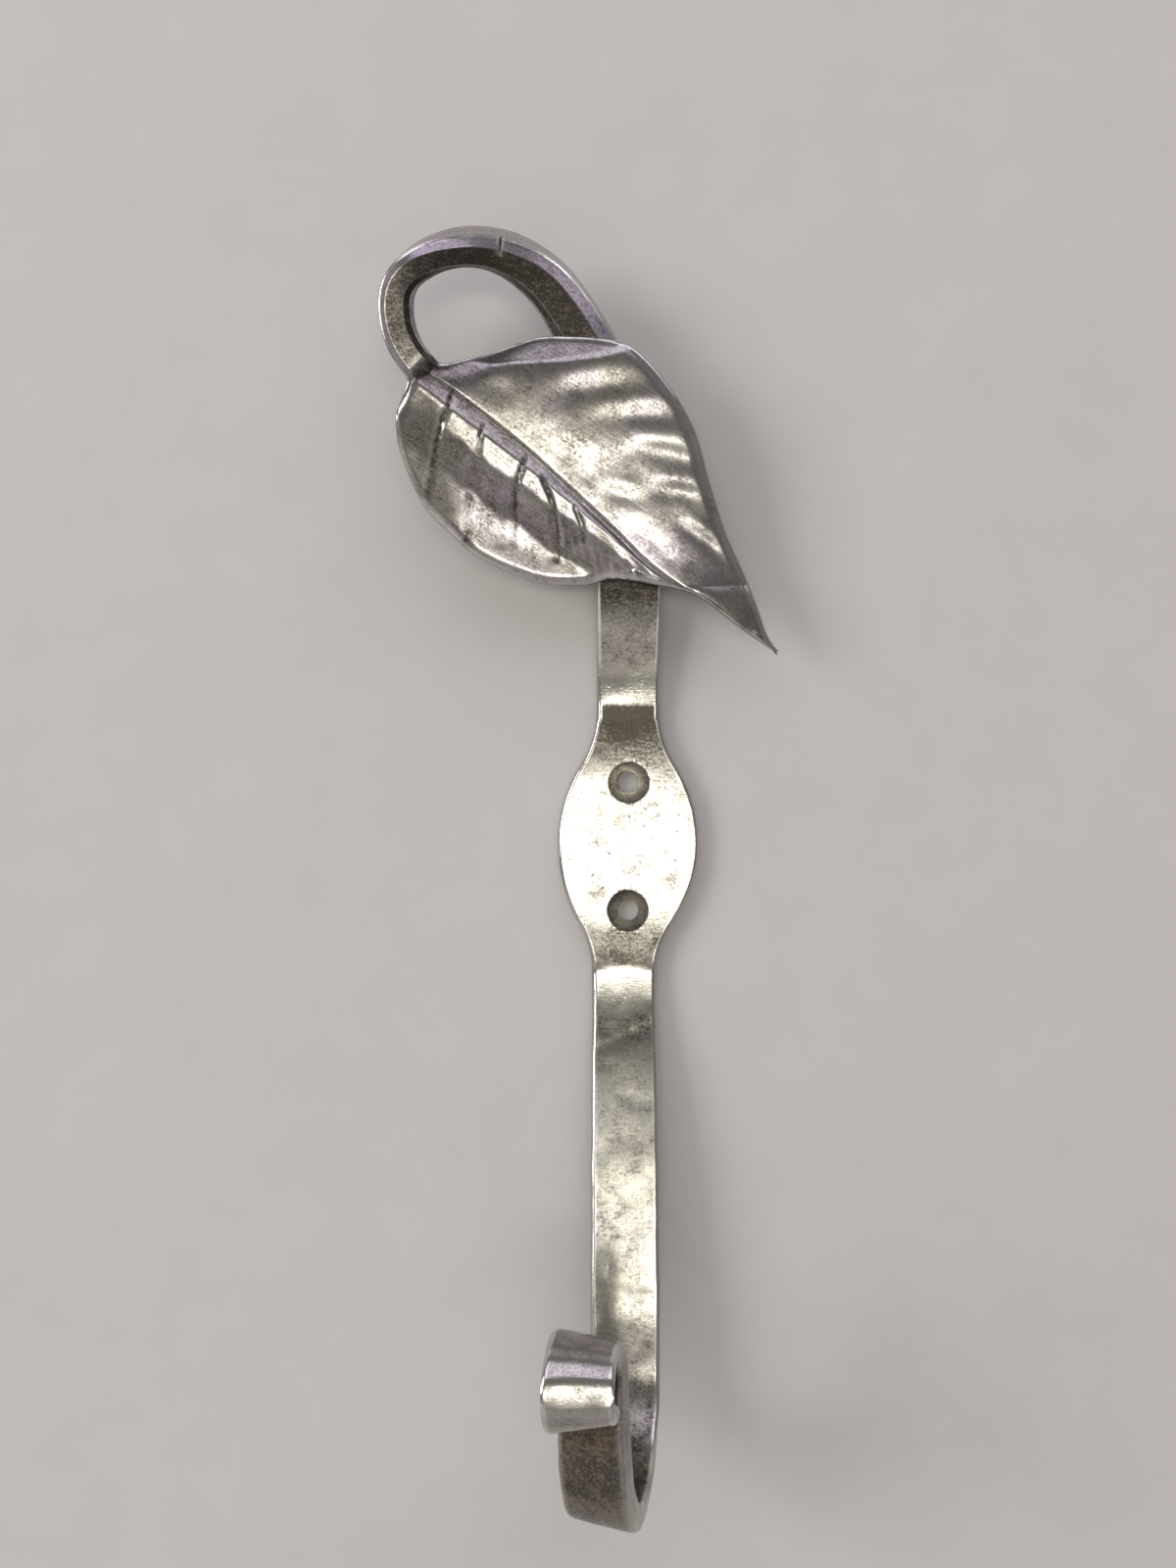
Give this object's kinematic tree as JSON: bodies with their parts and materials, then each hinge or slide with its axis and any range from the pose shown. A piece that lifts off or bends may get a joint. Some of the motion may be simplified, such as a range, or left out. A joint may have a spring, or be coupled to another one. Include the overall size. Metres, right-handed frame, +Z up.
{
  "type": "coat hook",
  "caption": "Forged steel coat hook with a curled stem and leaf on top, an oval wall plate with countersunk screw holes and a curled J hook.",
  "frame": {"origin": "on the wall plate's back face, midway between the two screw holes", "axes": "+Z up along the hook, -Y out of the wall toward the user, +X to the user's right"},
  "size_m": [0.075, 0.0636, 0.2335],
  "materials": {
    "steel": "wire-brushed forged steel, dark in the hollows, bright on the edges"
  },
  "bodies": {
    "root": {"hook": "steel"}
  },
  "joints": []
}
